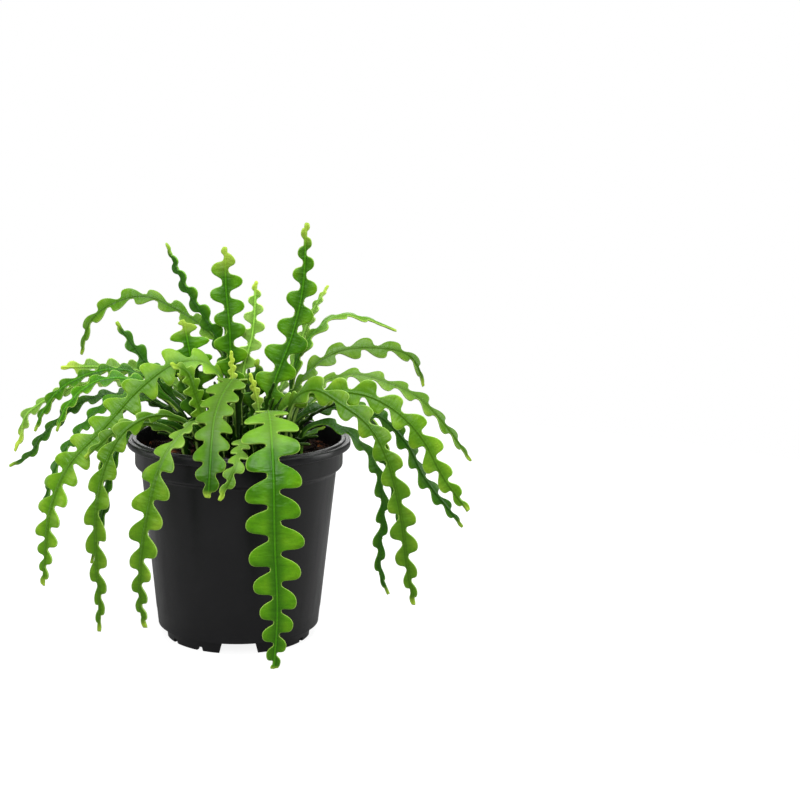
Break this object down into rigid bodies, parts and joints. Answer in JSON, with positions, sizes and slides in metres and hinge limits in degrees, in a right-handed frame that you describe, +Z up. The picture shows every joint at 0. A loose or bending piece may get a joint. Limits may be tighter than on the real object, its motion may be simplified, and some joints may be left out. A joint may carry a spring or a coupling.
{
  "type": "potted fishbone cactus",
  "caption": "Potted fishbone cactus: flat zigzag-lobed green stems standing, arching and hanging from a filled black tapered nursery pot.",
  "frame": {"origin": "on the surface the pot stands on, under the middle of the pot", "axes": "+Z up, +X to the viewer's right along the widest spread of the stems, -Y towards the viewer"},
  "size_m": [0.3218, 0.1998, 0.2901],
  "materials": {
    "pot": "black injection-moulded polypropylene, fine satin, softly shiny at the lip",
    "soil": "dark damp peat mix with bark chips, rough and matt",
    "stem_bright": "light green waxy skin, paler margins and rib, soft sheen",
    "stem_mid": "mid green waxy skin, paler margins and rib, soft sheen",
    "stem_dark": "deep green waxy skin of older or shaded stems, soft sheen",
    "stem_young": "lime yellow new growth, waxy, soft sheen"
  },
  "bodies": {
    "root": {"pot": "pot", "soil": "soil", "stem_upright_1": "stem_mid", "stem_upright_2": "stem_mid", "stem_upright_3": "stem_dark", "stem_upright_4": "stem_young", "stem_upright_5": "stem_young", "stem_upright_6": "stem_mid", "stem_upright_7": "stem_bright", "stem_upright_8": "stem_dark", "stem_upright_9": "stem_mid", "stem_upright_10": "stem_dark", "stem_upright_11": "stem_dark", "stem_left_1": "stem_bright", "stem_left_2": "stem_bright", "stem_left_3": "stem_dark", "stem_left_4": "stem_dark", "stem_left_5": "stem_dark", "stem_left_6": "stem_young", "stem_left_7": "stem_mid", "stem_left_8": "stem_young", "stem_left_9": "stem_mid", "stem_left_10": "stem_bright", "stem_front_1": "stem_mid", "stem_front_2": "stem_bright", "stem_front_3": "stem_mid", "stem_front_4": "stem_bright", "stem_front_5": "stem_bright", "stem_front_6": "stem_young", "stem_front_7": "stem_young", "stem_front_8": "stem_dark", "stem_right_1": "stem_bright", "stem_right_2": "stem_bright", "stem_right_3": "stem_bright", "stem_right_4": "stem_dark", "stem_right_5": "stem_bright", "stem_right_6": "stem_dark", "stem_back_1": "stem_mid", "stem_back_2": "stem_bright", "stem_back_3": "stem_dark", "stem_back_4": "stem_mid", "stem_back_5": "stem_mid", "stem_back_6": "stem_mid", "stem_back_7": "stem_young"}
  },
  "joints": []
}
